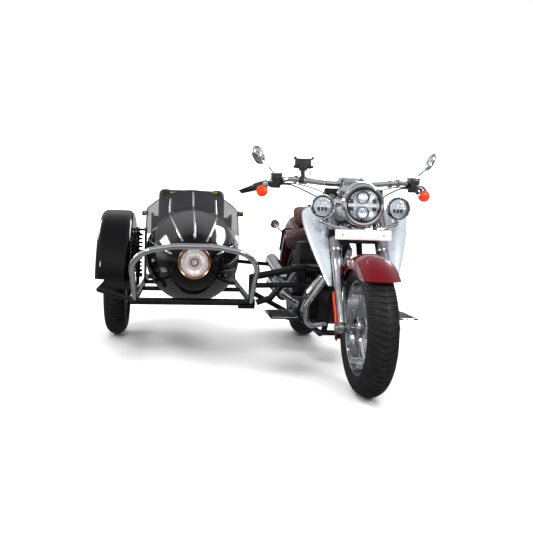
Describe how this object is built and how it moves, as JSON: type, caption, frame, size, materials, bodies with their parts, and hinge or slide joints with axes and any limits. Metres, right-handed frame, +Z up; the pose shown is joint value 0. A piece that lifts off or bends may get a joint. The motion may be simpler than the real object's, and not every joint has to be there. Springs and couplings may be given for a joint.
{
  "type": "sidecar motorcycle",
  "caption": "V-twin cruiser motorcycle with a torpedo sidecar on its right side, steering fork, three free wheels and a folding side stand.",
  "frame": {"origin": "on the floor, under the middle of the whole outline", "axes": "+Z up, the front of the motorcycle is -Y, +X is the rider's left, the sidecar is on the -X side"},
  "size_m": [1.943, 2.706, 1.1943],
  "materials": {
    "gloss_black": "gloss",
    "frame_black": "satin",
    "candy_red": "gloss",
    "maroon": "gloss",
    "chrome": "polished",
    "polished_alloy": "polished",
    "satin_alloy": "satin",
    "fin_black": "satin",
    "tyre": "matte",
    "brown_leather": "satin",
    "black_vinyl": "satin",
    "lens": "clear",
    "smoked_screen": "smoked",
    "lamp_brass": "polished",
    "red_lens": "gloss",
    "plate_white": "gloss",
    "grip_rubber": "matte"
  },
  "bodies": {
    "chassis": {"bike_frame": "frame_black", "engine_case": "satin_alloy", "engine_cylinders": "fin_black", "rocker_covers": "chrome", "air_cleaner": "fin_black", "primary_cover": "chrome", "exhaust": "chrome", "oil_tank": "frame_black", "fuel_tank": "maroon", "bike_seat": "brown_leather", "rear_fender": "maroon", "fender_struts": "chrome", "rear_signals": "chrome", "tail_lamp": "red_lens", "swingarm": "frame_black", "rear_axle": "chrome", "drive_belt": "frame_black", "floorboards": "polished_alloy", "engine_guard": "chrome", "saddlebag_stays": "frame_black", "sidecar_frame": "frame_black", "mounting_struts": "frame_black", "bumper": "chrome", "tub": "gloss_black", "nose_lamp": "lamp_brass", "windscreen": "smoked_screen", "sidecar_seat": "black_vinyl", "running_board": "frame_black", "side_fender": "gloss_black", "side_swingarm": "frame_black", "side_shock": "chrome"},
    "steering": {"steering_clamps": "frame_black", "fork_covers": "satin_alloy", "fork_legs": "polished_alloy", "front_axle": "chrome", "front_caliper": "satin_alloy", "front_fender": "candy_red", "nacelle": "chrome", "lamp_glass": "lens", "fog_lamps": "chrome", "lamp_bar": "chrome", "front_plate": "plate_white", "leg_shields": "polished_alloy", "handlebar": "chrome", "riser_cover": "chrome", "grips": "grip_rubber", "hand_controls": "chrome", "mirrors": "chrome", "front_signals": "chrome", "phone_holder": "frame_black"},
    "front_wheel": {"front_rim": "polished_alloy", "front_tire": "tyre"},
    "rear_wheel": {"rear_rim": "polished_alloy", "rear_tire": "tyre"},
    "sidecar_wheel": {"side_rim": "polished_alloy", "side_tire": "tyre"},
    "side_stand": {"side_stand": "frame_black"}
  },
  "joints": [
    {"name": "steering", "type": "hinge", "parent": "chassis", "child": "steering", "pos_m": [0.4135, -0.69831, 0.8], "axis": [0, 0.515, 0.8572], "range_deg": [-28, 28]},
    {"name": "front_wheel_spin", "type": "hinge", "parent": "steering", "child": "front_wheel", "pos_m": [0.4135, -1.032, 0.321], "axis": [1, 0, 0], "continuous": true},
    {"name": "rear_wheel_spin", "type": "hinge", "parent": "chassis", "child": "rear_wheel", "pos_m": [0.4135, 0.603, 0.326], "axis": [1, 0, 0], "continuous": true},
    {"name": "sidecar_wheel_spin", "type": "hinge", "parent": "chassis", "child": "sidecar_wheel", "pos_m": [-0.8665, 0.573, 0.32], "axis": [1, 0, 0], "continuous": true},
    {"name": "side_stand_fold", "type": "hinge", "parent": "chassis", "child": "side_stand", "pos_m": [0.5435, -0.037, 0.165], "axis": [-1, 0, 0], "range_deg": [0, 70]}
  ]
}
